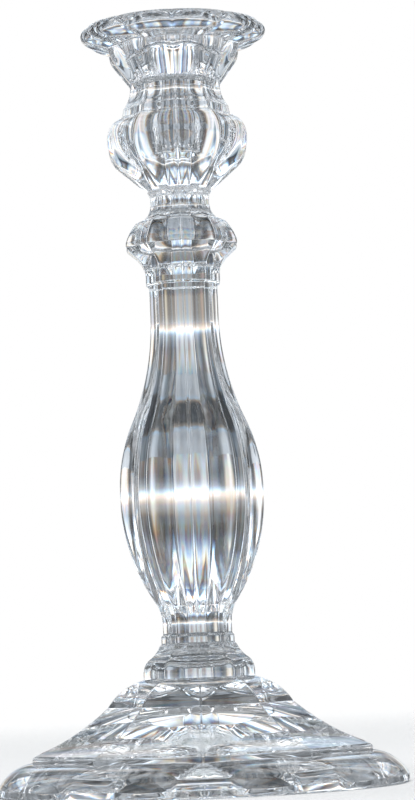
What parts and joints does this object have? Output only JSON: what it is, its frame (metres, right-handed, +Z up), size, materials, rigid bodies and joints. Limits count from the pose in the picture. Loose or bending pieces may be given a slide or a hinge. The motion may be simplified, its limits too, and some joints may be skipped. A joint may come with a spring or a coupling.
{
  "type": "glass candlestick",
  "caption": "Tall clear glass candlestick with flat panels, a stepped foot, a baluster stem and a lift-off drip pan for a taper candle.",
  "frame": {"origin": "on the axis, in the plane that the foot stands on", "axes": "+Z up along the candlestick's axis, +X out of one of the flat panels"},
  "size_m": [0.16, 0.16, 0.302],
  "materials": {
    "foot_glass": "clear crystal, fire-polished, cut underneath",
    "stem_glass": "clear crystal, polished flat panels",
    "urn_glass": "clear crystal, polished flat panels",
    "pan_glass": "clear crystal, fire-polished, cut on top",
    "bond": "cured clear adhesive"
  },
  "bodies": {
    "stand": {"foot": "foot_glass", "foot_bond": "bond", "foot_knop": "stem_glass", "stem_bond": "bond", "baluster_stem": "stem_glass", "knop_bond": "bond", "collar_knop": "stem_glass", "urn_bond": "bond", "socket_urn": "urn_glass"},
    "bobeche": {"bobeche": "pan_glass"}
  },
  "joints": [
    {"name": "bobeche_lift", "type": "slide", "parent": "stand", "child": "bobeche", "axis": [0, 0, 1], "range_m": [0, 0.03]}
  ]
}
